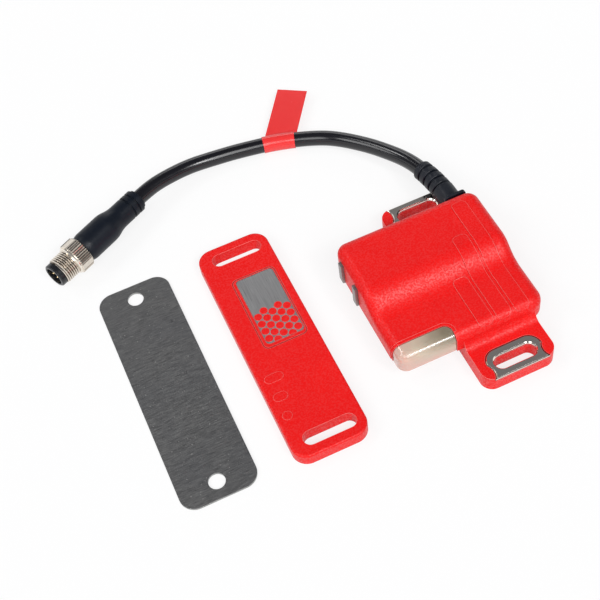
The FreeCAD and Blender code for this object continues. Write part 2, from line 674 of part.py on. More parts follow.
def cable_boot():
    """Moulded strain relief: collar inside the wall, tongue outside and a bent ribbed sleeve."""
    wall_in, wall_out = CAVITY_BACK_Y, BODY_BACK_Y
    collar_in = wall_in - BOOT_COLLAR_LENGTH
    base = turned([(collar_in, 0), (collar_in, BOOT_COLLAR_R), (wall_in, BOOT_COLLAR_R),
                   (wall_in, BOOT_NECK_R), (wall_out, BOOT_NECK_R), (wall_out, BOOT_BASE_R),
                   (BOOT_BEND_START_Y, BOOT_BASE_R), (BOOT_BEND_START_Y, 0)])
    half = BOOT_TONGUE_WIDTH / 2
    tongue = box(BOOT_X - half, BOOT_X + half, wall_out, wall_out + BOOT_TONGUE_THICKNESS,
                 BACK_ROOT_TOP_Z, BOOT_TONGUE_TOP_Z)
    corners = [e for e in tongue.Edges if abs(e.tangentAt(e.FirstParameter).y) > 0.5]
    pieces = [placed(base, V(BOOT_X, 0, BOOT_Z), 90), tongue.makeFillet(BOOT_TONGUE_WIDTH / 6, corners)]
    places = [boot_point(share)[0] for share in (0.0, 0.5, 1.0)]
    axis = Part.Wire(Part.Arc(*places).toShape())
    plain_places = [boot_point(BOOT_PLAIN_SHARE * share)[0] for share in (0.0, 0.5, 1.0)]
    plain_axis = Part.Wire(Part.Arc(*plain_places).toShape())
    for line, radius in ((axis, BOOT_CORE_R), (plain_axis, BOOT_BASE_R)):
        ring = Part.Wire(Part.makeCircle(radius, places[0], V(0, 1, 0)))
        pieces.append(line.makePipeShell([ring], True, False))
    plain_length = axis.Length * BOOT_PLAIN_SHARE
    pitch = (axis.Length - plain_length) / BOOT_RIB_COUNT
    length = pitch * BOOT_RIB_SHARE
    c = BOOT_RIB_CHAMFER
    for i in range(BOOT_RIB_COUNT):
        share = (plain_length + pitch * (i + 1) - length / 2 - BOOT_END_LIP) / axis.Length
        r = BOOT_BASE_R + (BOOT_END_R - BOOT_BASE_R) * share
        rib = turned([(-length / 2, 0), (-length / 2, r - c), (c - length / 2, r), (length / 2 - c, r),
                      (length / 2, r - c), (length / 2, 0)])
        pieces.append(aimed(rib, *boot_point(share)))
    ear_root = box(-FAR, FAR, wall_out, wall_out + BACK_ROOT_R + FIT_GAP, 0, BACK_ROOT_TOP_Z)
    return fused(pieces).cut(ear_root)


def lead_wires():
    """Insulated cores from the end of the boot down to the board."""
    start_y = CAVITY_BACK_Y - BOOT_COLLAR_LENGTH
    drop = BOOT_Z - BOARD_TOP_Z - WIRE_R
    slope = math.atan2(drop, WIRE_RUN)
    wires = []
    for i in range(WIRE_COUNT):
        x = BOOT_X + (i - (WIRE_COUNT - 1) / 2) * WIRE_SPACING
        start = V(x, start_y - WIRE_R * math.sin(slope), BOOT_Z)
        end = V(x, start_y - WIRE_RUN, BOARD_TOP_Z + WIRE_R)
        wires.append(Part.makeCylinder(WIRE_R, (end - start).Length, start, end - start))
    return Part.makeCompound(wires)


def cord_corners():
    """Bend at each inner point of the route: start, middle and end of its arc, and its radius."""
    bends = []
    for i in range(1, len(CORD_ROUTE) - 1):
        before, here, after = CORD_ROUTE[i - 1:i + 2]
        back, ahead = before - here, after - here
        reach = 0.45 * min(back.Length, ahead.Length)
        turn = math.pi - back.getAngle(ahead)
        radius = reach / math.tan(turn / 2)
        back.normalize()
        ahead.normalize()
        inward = back + ahead
        inward.normalize()
        middle = here + inward * (radius / math.cos(turn / 2) - radius)
        bends.append((here + back * reach, middle, here + ahead * reach, radius))
    return bends


def cord_edges():
    """The route as straight runs joined by tangent arcs."""
    edges = []
    last = CORD_ROUTE[0]
    for start, middle, end, _ in cord_corners():
        edges.append(Part.LineSegment(last, start).toShape())
        edges.append(Part.Arc(start, middle, end).toShape())
        last = end
    edges.append(Part.LineSegment(last, CORD_ROUTE[-1]).toShape())
    return edges


def cord_tube(radius):
    """Tube of a radius along the whole route."""
    ring = Part.Wire(Part.makeCircle(radius, BOOT_END, BOOT_EXIT))
    return Part.Wire(cord_edges()).makePipeShell([ring], True, False)


def cable_jacket():
    """Round cable from the boot to the connector."""
    tube = cord_tube(CABLE_R)
    length = Part.Wire(cord_edges()).Length
    section = math.pi * CABLE_R ** 2
    print("cord length %.1f, volume over section %.4f" % (length, tube.Volume / (section * length)))
    print("cord radii", [round(bend[3], 1) for bend in cord_corners()])
    return tube


def cable_flag_label():
    """Sticky label wrapped round the cable, its two tails pressed together as a flag."""
    start, middle, end, _ = cord_corners()[CORD_ROUTE.index(LABEL_POINT) - 1]
    side = LABEL_POINT - middle
    inner = CABLE_R + LABEL_GAP
    outer = inner + LABEL_THICKNESS
    arc = Part.Wire(Part.Arc(start, middle, end).toShape())
    tangent = start - LABEL_POINT
    sleeve = arc.makePipeShell([Part.Wire(Part.makeCircle(outer, start, tangent))], True, False)
    half = LABEL_FLAG_WIDTH / 2
    flag = box(-half, half, 0, LABEL_FLAG_LENGTH, 0, LABEL_THICKNESS)
    yaw = math.degrees(math.atan2(side.y, side.x)) - 90 + LABEL_FLAG_TURN_DEG
    flag = placed(flag, V(middle.x, middle.y, middle.z - LABEL_THICKNESS / 2), yaw)
    return fused([sleeve, flag]).cut(cord_tube(inner))


# Connector, built along X from the cable end and then carried to its place
def on_plug(shape):
    """Connector piece carried to where the connector lies."""
    return placed(shape, PLUG_END, PLUG_YAW_DEG)


def connector_body():
    """Overmoulded grip with a ribbed tail and the core that the nut turns on."""
    tail = PLUG_RIB_R - PLUG_GROOVE_DEPTH
    profile = [(0, 0), (0, tail)]
    profile += [(PLUG_GROOVE_WIDTH, tail), (PLUG_GROOVE_WIDTH, PLUG_RIB_R)]
    profile += ribbed(PLUG_RIB_PITCH, PLUG_RIB_COUNT - 1, PLUG_RIB_PITCH, PLUG_RIB_R,
                      PLUG_GROOVE_WIDTH, PLUG_GROOVE_DEPTH)
    profile.append((PLUG_TAPER_START, PLUG_RIB_R))
    profile += s_curve(PLUG_TAPER_START, PLUG_RIB_R, PLUG_GRIP_START, PLUG_GRIP_R)
    nose_start = PLUG_GRIP_END - PLUG_NOSE_LENGTH
    profile.append((nose_start, PLUG_GRIP_R))
    profile += nose_curve(nose_start, PLUG_GRIP_R, PLUG_GRIP_END, PLUG_NOSE_R)
    profile += [(PLUG_GRIP_END, PLUG_CORE_R), (CARRIER_START, PLUG_CORE_R), (CARRIER_START, 0)]
    return on_plug(turned(profile))


def contact_carrier():
    """Plastic cup round the contacts; its head keeps the nut on."""
    head_start = NUT_END + NUT_GAP
    bevel = (CARRIER_HEAD_R - CARRIER_CUP_R) / 3
    profile = [(CARRIER_START, 0), (CARRIER_START, PLUG_CORE_R), (head_start, PLUG_CORE_R),
               (head_start, CARRIER_HEAD_R), (CARRIER_END - bevel, CARRIER_HEAD_R),
               (CARRIER_END, CARRIER_HEAD_R - bevel), (CARRIER_END, CARRIER_CUP_R),
               (CARRIER_CUP_FLOOR, CARRIER_CUP_R), (CARRIER_CUP_FLOOR, 0)]
    return on_plug(turned(profile))


def pin_places():
    """Contact places in the connector's face: a ring and one in the middle."""
    places = [(0.0, 0.0)]
    for i in range(PIN_RING_COUNT):
        angle = 2 * math.pi * i / PIN_RING_COUNT
        places.append((PIN_CIRCLE_R * math.cos(angle), PIN_CIRCLE_R * math.sin(angle)))
    return places


def contact_pins():
    """Gold-plated contacts with bevelled tips, standing on the cup's floor."""
    pin = turned([(CARRIER_CUP_FLOOR, 0), (CARRIER_CUP_FLOOR, PIN_R), (PIN_TIP - PIN_R, PIN_R),
                  (PIN_TIP, PIN_R / 2), (PIN_TIP, 0)])
    pins = []
    for y, z in pin_places():
        pins.append(on_plug(placed(pin, V(0, y, z), 0)))
    return Part.makeCompound(pins)


def coupling_nut():
    """Knurled nut with its outside thread as a plain cylinder, free to spin on the core."""
    bore = PLUG_CORE_R + NUT_RUN_GAP
    start = PLUG_GRIP_END + NUT_GAP
    c = NUT_CHAMFER
    profile = [(start, bore), (start, NUT_KNURL_R - c), (start + c, NUT_KNURL_R),
               (NUT_KNURL_END - c, NUT_KNURL_R), (NUT_KNURL_END, NUT_KNURL_R - c),
               (NUT_KNURL_END, NUT_COLLAR_R), (NUT_COLLAR_END - c, NUT_COLLAR_R),
               (NUT_COLLAR_END, NUT_COLLAR_R - c), (NUT_COLLAR_END, THREAD_R),
               (NUT_END - c, THREAD_R), (NUT_END, THREAD_R - c), (NUT_END, bore)]
    nut = turned(profile)
    for i in range(NUT_FLAT_COUNT):
        outside = box(start - 1, NUT_KNURL_END, -FAR, FAR, NUT_FLAT_R, FAR)
        turn = NUT_FLAT_TURN_DEG - 90 + 360 * i / NUT_FLAT_COUNT
        outside.rotate(V(0, 0, 0), V(1, 0, 0), turn)
        nut = nut.cut(outside)
    return on_plug(nut)


# Actuator and plate, built about their own centre and then carried to their place
def at_actuator(shape):
    """Actuator piece carried to where the actuator lies."""
    return placed(shape, V(ACTUATOR_X, ACTUATOR_Y, 0), 0)


def tag_pocket(grow, z0, z1):
    """Prism of the pocket for the coded tag in the actuator's underside."""
    width = TAG_POCKET_WIDTH + 2 * grow
    length = TAG_POCKET_LENGTH + 2 * grow
    return rounded_plate(width, length, TAG_POCKET_R + grow, z0, z1)


def inlay_plate(grow, z0, z1):
    """Prism of the steel inlay, grown by a margin."""
    width = INLAY_WIDTH + 2 * grow
    length = INLAY_LENGTH + 2 * grow
    return rounded_plate(width, length, INLAY_CORNER_R + grow, z0, z1, INLAY_X, INLAY_Y)


def pad_plate(grow, z0, z1):
    """Prism of the pad round the inlay, grown by a margin."""
    width = INLAY_WIDTH + PAD_LEFT_MARGIN + PAD_RIGHT_MARGIN
    length = INLAY_LENGTH + PAD_FRONT_MARGIN + PAD_BACK_MARGIN
    x = INLAY_X + (PAD_RIGHT_MARGIN - PAD_LEFT_MARGIN) / 2
    y = INLAY_Y + (PAD_BACK_MARGIN - PAD_FRONT_MARGIN) / 2
    radius = INLAY_CORNER_R + PAD_RIGHT_MARGIN + grow
    return rounded_plate(width + 2 * grow, length + 2 * grow, radius, z0, z1, x, y)


def actuator_housing():
    """Flat moulded strip with two cross slots, the grooved pad and seat of the inlay and the tag pocket."""
    top = ACTUATOR_THICKNESS
    strip = rounded_plate(STRIP_WIDTH, STRIP_LENGTH, STRIP_CORNER_R, 0, top)
    rim = [e for e in strip.Edges if all(abs(v.Z - top) < 1e-6 for v in e.Vertexes)]
    strip = strip.makeFillet(ACTUATOR_EDGE_R, rim)
    for i in range(3):
        length = MARK_WIDTH + (2 - i) * MARK_SHORTENING
        y = MARK_FIRST_Y - i * MARK_PITCH
        x = MARK_LEFT_X + length / 2
        mark = rounded_plate(length, MARK_WIDTH, 0.49 * MARK_WIDTH, top - 1, top + MARK_RAISE, x, y)
        strip = strip.fuse(mark)
    inlay_top = top - INLAY_SINK
    groove = pad_plate(0, top - PAD_GROOVE_DEPTH, top + 1).cut(pad_plate(-PAD_GROOVE_WIDTH, 0, top + 2))
    cuts = [groove, inlay_plate(FIT_GAP, inlay_top - INLAY_THICKNESS, top + 1)]
    cuts.append(tag_pocket(0, -1, TAG_POCKET_DEPTH))
    half = PAD_TAB_WIDTH / 2
    for share_x, share_y in PAD_TAB_PLACES:
        x, y = INLAY_X + share_x * INLAY_WIDTH, INLAY_Y + share_y * INLAY_LENGTH
        cuts.append(box(x - half, x + half, y - half, y + half, inlay_top, top + 1))
    for y in (-ACTUATOR_SLOT_Y, ACTUATOR_SLOT_Y):
        cuts.append(obround(ACTUATOR_SLOT_LENGTH, ACTUATOR_SLOT_WIDTH, -1, top + 1, ACTUATOR_SLOT_X, y))
    for tool in cuts:
        strip = strip.cut(tool)
    return at_actuator(strip.removeSplitter())


def steel_inlay():
    """Brushed steel plate let into the actuator's face."""
    top = ACTUATOR_THICKNESS - INLAY_SINK
    return at_actuator(inlay_plate(0, top - INLAY_THICKNESS, top))


def actuator_back_cover():
    """Cover that closes the tag pocket flush with the actuator's back."""
    return at_actuator(tag_pocket(-FIT_GAP, 0, TAG_COVER_THICKNESS))


def tag_board():
    """Thin board of the coded tag, on the back cover."""
    z0 = TAG_COVER_THICKNESS
    return at_actuator(tag_pocket(-2 * FIT_GAP, z0, z0 + TAG_BOARD_THICKNESS))


def tag_coil():
    """Flat antenna loop on the tag's board."""
    z0 = TAG_COVER_THICKNESS + TAG_BOARD_THICKNESS
    loop = tag_pocket(-TAG_COIL_MARGIN, z0, z0 + TAG_COIL_THICKNESS)
    width = TAG_POCKET_WIDTH - 2 * (TAG_COIL_MARGIN + TAG_COIL_WIDTH)
    length = TAG_POCKET_LENGTH - 2 * (TAG_COIL_MARGIN + TAG_COIL_WIDTH)
    return at_actuator(loop.cut(rounded_plate(width, length, 0.3, z0 - 1, z0 + 1)))


def tag_chip():
    """Transponder chip on the tag's board."""
    z0 = TAG_COVER_THICKNESS + TAG_BOARD_THICKNESS
    half = TAG_CHIP_SIDE / 2
    return at_actuator(box(-half, half, -half, half, z0, z0 + TAG_CHIP_HEIGHT))


def steel_plate():
    """Plain backing plate with two round holes."""
    plate = rounded_plate(STRIP_WIDTH, STRIP_LENGTH, STRIP_CORNER_R, 0, PLATE_THICKNESS)
    for y in (-PLATE_HOLE_Y, PLATE_HOLE_Y):
        plate = plate.cut(Part.makeCylinder(PLATE_HOLE_R, FAR, V(0, y, -1)))
    return placed(plate, V(PLATE_X, PLATE_Y, 0), 0)


os.makedirs("parts", exist_ok=True)
save("sensor_housing", sensor_housing())
save("sensor_base_cover", sensor_base_cover())
save("front_mount_insert", front_insert())
save("rear_mount_insert", half_turned(front_insert()))
save("light_pipe", light_pipe())
save("circuit_board", circuit_board())
save("board_chips", board_chips())
save("indicator_leds", indicator_leds())
save("antenna_core", antenna_core())
save("antenna_coil", antenna_coil())
save("holding_magnet", holding_magnet())
save("pole_shoes", pole_shoes())
save("cable_boot", cable_boot())
save("lead_wires", lead_wires())
save("cable_jacket", cable_jacket())
save("cable_flag_label", cable_flag_label())
save("connector_body", connector_body())
save("contact_carrier", contact_carrier())
save("contact_pins", contact_pins())
save("coupling_nut", coupling_nut())
save("actuator_housing", actuator_housing())
save("actuator_back_cover", actuator_back_cover())
save("steel_inlay", steel_inlay())
save("tag_board", tag_board())
save("tag_coil", tag_coil())
save("tag_chip", tag_chip())
save("steel_plate", steel_plate())
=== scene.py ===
import json
import math

import bmesh
import bpy
from mathutils import Matrix, Vector


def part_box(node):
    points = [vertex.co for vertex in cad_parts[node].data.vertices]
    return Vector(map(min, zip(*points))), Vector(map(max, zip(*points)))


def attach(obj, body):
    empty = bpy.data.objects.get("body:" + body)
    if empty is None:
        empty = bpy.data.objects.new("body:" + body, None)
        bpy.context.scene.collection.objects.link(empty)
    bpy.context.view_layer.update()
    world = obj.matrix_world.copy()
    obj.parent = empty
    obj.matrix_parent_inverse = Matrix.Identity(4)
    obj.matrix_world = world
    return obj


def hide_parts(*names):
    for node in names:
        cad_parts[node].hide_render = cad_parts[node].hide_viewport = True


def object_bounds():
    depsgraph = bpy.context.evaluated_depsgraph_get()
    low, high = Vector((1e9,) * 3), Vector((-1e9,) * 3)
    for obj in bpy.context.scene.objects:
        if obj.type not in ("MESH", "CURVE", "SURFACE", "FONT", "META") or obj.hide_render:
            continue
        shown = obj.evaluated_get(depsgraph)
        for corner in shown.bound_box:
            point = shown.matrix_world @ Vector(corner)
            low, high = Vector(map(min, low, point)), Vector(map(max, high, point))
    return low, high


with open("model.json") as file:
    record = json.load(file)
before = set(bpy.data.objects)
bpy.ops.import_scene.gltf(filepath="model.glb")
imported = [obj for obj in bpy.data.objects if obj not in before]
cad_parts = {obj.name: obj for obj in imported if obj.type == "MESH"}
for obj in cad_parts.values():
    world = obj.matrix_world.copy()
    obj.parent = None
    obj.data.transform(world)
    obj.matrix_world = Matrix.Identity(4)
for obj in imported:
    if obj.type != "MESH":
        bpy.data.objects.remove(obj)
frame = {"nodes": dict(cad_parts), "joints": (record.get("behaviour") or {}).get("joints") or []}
cad_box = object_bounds()


# Sensor housing
# A shell moulded in red glass-filled plastic, with a fine spark-eroded grain on every outer face.
# The ears, the raised panels and the rim of the light window are moulded in one piece with it.
nodes = frame["nodes"]
mm = 0.001


def add(tree, kind, inputs=None, **settings):
    """Add a shader node, set its options, and set or link its inputs."""
    made = tree.nodes.new("ShaderNode" + kind)
    for name, value in settings.items():
        setattr(made, name, value)
    for name, value in (inputs or {}).items():
        if isinstance(value, bpy.types.NodeSocket):
            tree.links.new(value, made.inputs[name])
        else:
            made.inputs[name].default_value = value
    return made


def remap(tree, value, start, end, new_start=0.0, new_end=1.0):
    """Stretch a value's range from start to end over the new range, and hold it there."""
    ranges = {"From Min": start, "From Max": end, "To Min": new_start, "To Max": new_end}
    return add(tree, "MapRange", {"Value": value, **ranges}).outputs["Result"]


def multiply(tree, first, second):
    """Product of two values."""
    return add(tree, "Math", {0: first, 1: second}, operation="MULTIPLY").outputs["Value"]


def mix_colour(tree, share, first, second):
    """Blend from the first to the second colour, each a socket or three numbers."""
    first, second = (
        colour if isinstance(colour, bpy.types.NodeSocket) else (*colour, 1) for colour in (first, second)
    )
    return add(tree, "Mix", {0: share, 6: first, 7: second}, data_type="RGBA").outputs[2]


def new_group(name, inputs, outputs):
    """Empty shader node group: gives its tree, its input sockets by name and its output node."""
    tree = bpy.data.node_groups.new(name, "ShaderNodeTree")
    for title, kind in inputs.items():
        tree.interface.new_socket(title, in_out="INPUT", socket_type="NodeSocket" + kind)
    for title, kind in outputs.items():
        tree.interface.new_socket(title, in_out="OUTPUT", socket_type="NodeSocket" + kind)
    entry = tree.nodes.new("NodeGroupInput")
    return tree, entry.outputs, tree.nodes.new("NodeGroupOutput")


def new_material(name):
    """New material: gives it, its node tree, its Principled shader and its Object coordinates."""
    material = bpy.data.materials.new(name)
    material.use_nodes = True
    tree = material.node_tree
    place = tree.nodes.new("ShaderNodeTexCoord").outputs["Object"]
    return material, tree, tree.nodes["Principled BSDF"], place


def reopen(material):
    """Tree, shader, Object coordinates and present colour of a material that gets a further finish."""
    tree = material.node_tree
    shader = tree.nodes["Principled BSDF"]
    place = tree.nodes["Texture Coordinate"].outputs["Object"]
    return tree, shader, place, shader.inputs["Base Color"].links[0].from_socket


def dress(material, *names):
    """Give CAD nodes one material on every face."""
    for name in names:
        nodes[name].data.materials.clear()
        nodes[name].data.materials.append(material)


noise_low, noise_high = 0.3, 0.7


# Moulded grain: a fine pitted skin, with a slow drift of the pigment below it.
def build_moulded_grain():
    pigment_scale = 70.0
    least_rough, most_rough = 0.6, 1.4
    tree, entry, result = new_group(
        "moulded_grain",
        {
            "Place": "Vector", "Colour": "Color", "Deep Colour": "Color", "Grain Scale": "Float",
            "Roughness": "Float",
        },
        {"Colour": "Color", "Roughness": "Float", "Height": "Float"},
    )
    pits = add(tree, "TexNoise", {"Vector": entry["Place"], "Scale": entry["Grain Scale"], "Detail": 1.0})
    drift = add(tree, "TexNoise", {"Vector": entry["Place"], "Scale": pigment_scale, "Detail": 2.0})
    amount = remap(tree, drift.outputs["Fac"], noise_low, noise_high)
    spread = remap(tree, pits.outputs["Fac"], 0, 1, least_rough, most_rough)
    colour = mix_colour(tree, amount, entry["Deep Colour"], entry["Colour"])
    tree.links.new(colour, result.inputs["Colour"])
    tree.links.new(multiply(tree, entry["Roughness"], spread), result.inputs["Roughness"])
    tree.links.new(pits.outputs["Fac"], result.inputs["Height"])
    return tree


moulded_grain = build_moulded_grain()
edge_samples = 6


def moulded_material(
    name, colour, deep_colour, grain_scale, roughness, bump, specular=0.5, edge_r=0.15 * mm
):
    """Moulded plastic or rubber with a grained skin and softened edges."""
    pit_depth = 0.15 * mm
    material, tree, shader, place = new_material(name)
    skin = add(tree, "Group", node_tree=moulded_grain)
    tree.links.new(place, skin.inputs["Place"])
    skin.inputs["Colour"].default_value = (*colour, 1)
    skin.inputs["Deep Colour"].default_value = (*deep_colour, 1)
    skin.inputs["Grain Scale"].default_value = grain_scale
    skin.inputs["Roughness"].default_value = roughness
    relief = add(tree, "Bump", {"Height": skin.outputs["Height"], "Strength": bump, "Distance": pit_depth})
    if edge_r:
        soft_edge = add(tree, "Bevel", {"Radius": edge_r}, samples=edge_samples)
        tree.links.new(soft_edge.outputs["Normal"], relief.inputs["Normal"])
    tree.links.new(skin.outputs["Colour"], shader.inputs["Base Color"])
    tree.links.new(skin.outputs["Roughness"], shader.inputs["Roughness"])
    tree.links.new(relief.outputs["Normal"], shader.inputs["Normal"])
    shader.inputs["Specular IOR Level"].default_value = specular
    return material


red_grained = moulded_material(
    "red_grained_plastic", (0.84, 0.010, 0.009), (0.80, 0.008, 0.008),
    grain_scale=1500, roughness=0.45, bump=0.5, specular=0.15,
)

# Painted highlight lightens the red skin's colour on its edges, painted shade darkens it in its creases,
# and its grain has a sparkling sheen.
painted_highlight_colour, painted_shade_colour = (0.98, 0.36, 0.34), (0.22, 0.0, 0.0)
edge_width, crease_reach = 0.3 * mm, 0.7 * mm
flat_bend, sharp_bend = 0.99, 0.88
sheltered, exposed = 0.75, 0.95
crease_start, crease_full = 0.6, 0.25
painted_highlight_most = 0.8
sheen_start, sheen_full, sheen_most = 0.42, 0.62, 0.8
sheen_roughness = 0.4
tree, shader, place, skin_colour = reopen(red_grained)
face = add(tree, "NewGeometry")
wide_edge = add(tree, "Bevel", {"Radius": edge_width}, samples=edge_samples)
bend = add(
    tree, "VectorMath", {0: wide_edge.outputs["Normal"], 1: face.outputs["Normal"]}, operation="DOT_PRODUCT"
)
open_sky = add(tree, "AmbientOcclusion", {"Distance": crease_reach}, samples=edge_samples).outputs["AO"]
# Painted highlight on convex edges that are open around them, painted shade in creases found by ambient
# occlusion.
edge = remap(tree, bend.outputs["Value"], flat_bend, sharp_bend)
painted_highlight_share = multiply(tree, edge, remap(tree, open_sky, sheltered, exposed))
painted_shade_share = remap(tree, open_sky, crease_start, crease_full)
highlighted_skin = mix_colour(tree, multiply(tree, painted_highlight_share, painted_highlight_most), skin_colour, painted_highlight_colour)
tree.links.new(mix_colour(tree, painted_shade_share, highlighted_skin, painted_shade_colour), shader.inputs["Base Color"])
grain_height = skin_colour.node.outputs["Height"]
sheen = remap(tree, grain_height, sheen_start, sheen_full, new_end=sheen_most)
tree.links.new(sheen, shader.inputs["Coat Weight"])
shader.inputs["Coat Roughness"].default_value = sheen_roughness
dress(red_grained, "sensor_housing")


# Base cover
# A cover in the same red plastic, glued into the opening under the housing.
# Its foot is the middle of the mounting strip, and its posts and pins carry the circuit board.
red_plain = moulded_material(
    "red_plain_plastic", (0.74, 0.012, 0.013), (0.68, 0.009, 0.010),
    grain_scale=900, roughness=0.45, bump=0.15,
)
dress(red_plain, "sensor_base_cover")


# Mounting inserts
# Stamped steel plates, nickel plated and polished, moulded into the ears round the screw slots.
# The plating has faint polishing lines, and the red plastic laps up the plates' edges below the chamfer.
def build_brushed_metal():
    tree, entry, result = new_group(
        "brushed_metal",
        {
            "Place": "Vector", "Colour": "Color", "Dark Colour": "Color", "Roughness": "Float",
            "Spread": "Float",
        },
        {"Colour": "Color", "Roughness": "Float", "Height": "Float"},
    )
    lines = add(
        tree, "TexNoise", {"Vector": entry["Place"], "Scale": 1.0, "Detail": 4.0, "Roughness": 0.65}
    ).outputs["Fac"]
    amount = remap(tree, lines, noise_low, noise_high)
    centred = add(tree, "Math", {0: lines, 1: 0.5}, operation="SUBTRACT").outputs["Value"]
    rough = add(
        tree, "Math", {0: centred, 1: entry["Spread"], 2: entry["Roughness"]}, operation="MULTIPLY_ADD"
    )
    colour = mix_colour(tree, amount, entry["Dark Colour"], entry["Colour"])
    tree.links.new(colour, result.inputs["Colour"])
    tree.links.new(rough.outputs["Value"], result.inputs["Roughness"])
    tree.links.new(lines, result.inputs["Height"])
    return tree


brushed_metal = build_brushed_metal()


def metal_material(name, colour, dark_colour, roughness, spread, stretch, bump):
    """Metal with fine lines: stretch gives how often they repeat per metre along X, Y and Z."""
    line_depth = 0.05 * mm
    material, tree, shader, place = new_material(name)
    stretched = add(tree, "Mapping", {"Vector": place, "Scale": stretch})
    lines = add(tree, "Group", node_tree=brushed_metal)
    tree.links.new(stretched.outputs["Vector"], lines.inputs["Place"])
    lines.inputs["Colour"].default_value = (*colour, 1)
    lines.inputs["Dark Colour"].default_value = (*dark_colour, 1)
    lines.inputs["Roughness"].default_value = roughness
    lines.inputs["Spread"].default_value = spread
    height = lines.outputs["Height"]
    relief = add(tree, "Bump", {"Height": height, "Strength": bump, "Distance": line_depth})
    tree.links.new(lines.outputs["Colour"], shader.inputs["Base Color"])
    tree.links.new(lines.outputs["Roughness"], shader.inputs["Roughness"])
    tree.links.new(relief.outputs["Normal"], shader.inputs["Normal"])
    shader.inputs["Metallic"].default_value = 1.0
    return material


plated = metal_material(
    "plated_insert", (0.92, 0.86, 0.78), (0.80, 0.74, 0.67),
    roughness=0.14, spread=0.1, stretch=(120, 3000, 900), bump=0.05,
)
insert_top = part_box("front_mount_insert")[1].z
lap_start, lap_end = 0.99 * mm, 0.81 * mm
lap_colour = (0.60, 0.012, 0.012)
tree, shader, place, plating = reopen(plated)
level = add(tree, "SeparateXYZ", {"Vector": place})
bare = remap(tree, level.outputs["Z"], insert_top - lap_start, insert_top - lap_end)
tree.links.new(mix_colour(tree, bare, lap_colour, plating), shader.inputs["Base Color"])
tree.links.new(bare, shader.inputs["Metallic"])
dress(plated, "front_mount_insert", "rear_mount_insert")


# Light pipe
# A milky polycarbonate corner that spreads the two lamps' light, snapped into the window of the housing.
# Its colour is painted: a pink that stands in for the red housing shining through at its left and lower
# parts, and a painted shade that darkens its upper right end.
painted_showthrough_tint, middle_tint, painted_shade_tint = (0.74, 0.44, 0.38, 1), (0.60, 0.49, 0.38, 1), (0.24, 0.20, 0.14, 1)
middle_share = 0.45
cloud_scale, cloud_share = 160.0, 0.25
least_rough, most_rough = 0.06, 0.14
milky, tree, shader, place = new_material("milky_light_pipe")
low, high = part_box("light_pipe")
level = add(tree, "SeparateXYZ", {"Vector": place})
across = remap(tree, level.outputs["X"], low.x, high.x)
upward = remap(tree, level.outputs["Z"], low.z, high.z)
cloud = add(tree, "TexNoise", {"Vector": place, "Scale": cloud_scale, "Detail": 2.0}).outputs["Fac"]
# Painted light: the tint runs from the painted red show-through to the painted shade towards the upper
# right, with random clouds.
painted_tint_share = add(
    tree, "Math", {0: cloud, 1: cloud_share, 2: multiply(tree, across, upward)}, operation="MULTIPLY_ADD"
)
tint = add(tree, "ValToRGB", {"Fac": painted_tint_share.outputs["Value"]})
tint.color_ramp.elements[0].color = painted_showthrough_tint
tint.color_ramp.elements[1].color = painted_shade_tint
tint.color_ramp.elements.new(middle_share).color = middle_tint
tree.links.new(tint.outputs["Color"], shader.inputs["Base Color"])
tree.links.new(remap(tree, cloud, 0, 1, least_rough, most_rough), shader.inputs["Roughness"])
shader.inputs["Subsurface Weight"].default_value = 0.35
shader.inputs["Subsurface Radius"].default_value = (1.0, 0.6, 0.5)
shader.inputs["Subsurface Scale"].default_value = 2.0 * mm
shader.inputs["Coat Weight"].default_value = 0.3
shader.inputs["Coat Roughness"].default_value = 0.08
dress(milky, "light_pipe")


# Electronics inside the sensor
# A green glass-epoxy board on the cover's posts, with black chips, two clear lamps and coloured cores.
# A ferrite pot core with its copper winding sits behind the left wall and reads the actuator.
laminate = moulded_material(
    "board_laminate", (0.02, 0.16, 0.06), (0.015, 0.11, 0.045), grain_scale=1500, roughness=0.4, bump=0.1
)
epoxy = moulded_material(
    "chip_epoxy", (0.018, 0.018, 0.02), (0.012, 0.012, 0.013), grain_scale=3000, roughness=0.55, bump=0.2
)
lamp_resin = moulded_material(
    "lamp_resin", (0.75, 0.75, 0.62), (0.66, 0.66, 0.52), grain_scale=600, roughness=0.15, bump=0.05
)
ferrite = moulded_material(
    "ferrite", (0.035, 0.033, 0.032), (0.022, 0.021, 0.02), grain_scale=2200, roughness=0.5, bump=0.3
)
insulation = moulded_material(
    "wire_insulation", (0.30, 0.17, 0.07), (0.22, 0.12, 0.05), grain_scale=700, roughness=0.4, bump=0.1
)
copper = metal_material(
    "copper_winding", (0.72, 0.32, 0.16), (0.55, 0.22, 0.10),
    roughness=0.3, spread=0.2, stretch=(4000, 300, 300), bump=0.4,
)
dress(laminate, "circuit_board")
dress(epoxy, "board_chips")
dress(lamp_resin, "indicator_leds")
dress(ferrite, "antenna_core")
dress(copper, "antenna_coil")
dress(insulation, "lead_wires")


# Holding magnet and pole shoes
# Two sawn steel shoes grip a nickel-plated magnet and stand out of the left wall,
# so that the actuator's steel holds on to the sensor.
shoe_steel = metal_material(
    "pole_steel", (0.40, 0.39, 0.38), (0.24, 0.235, 0.23),
    roughness=0.42, spread=0.3, stretch=(700, 700, 2600), bump=0.25,
)
magnet_plate = metal_material(
    "magnet_plating", (0.58, 0.57, 0.55), (0.5, 0.49, 0.47),
    roughness=0.25, spread=0.1, stretch=(500, 500, 500), bump=0.05,
)
dress(shoe_steel, "pole_shoes")
dress(magnet_plate, "holding_magnet")


# Cable boot
# A bend relief in black rubber, moulded on to the cable and pulled through the back wall.
# Its ribs let it bend, and its tongue lies against the wall.
rubber = moulded_material(
    "black_rubber", (0.006, 0.0085, 0.016), (0.004, 0.006, 0.011),
    grain_scale=2400, roughness=0.44, bump=0.35, specular=0.36,
)
dress(rubber, "cable_boot")


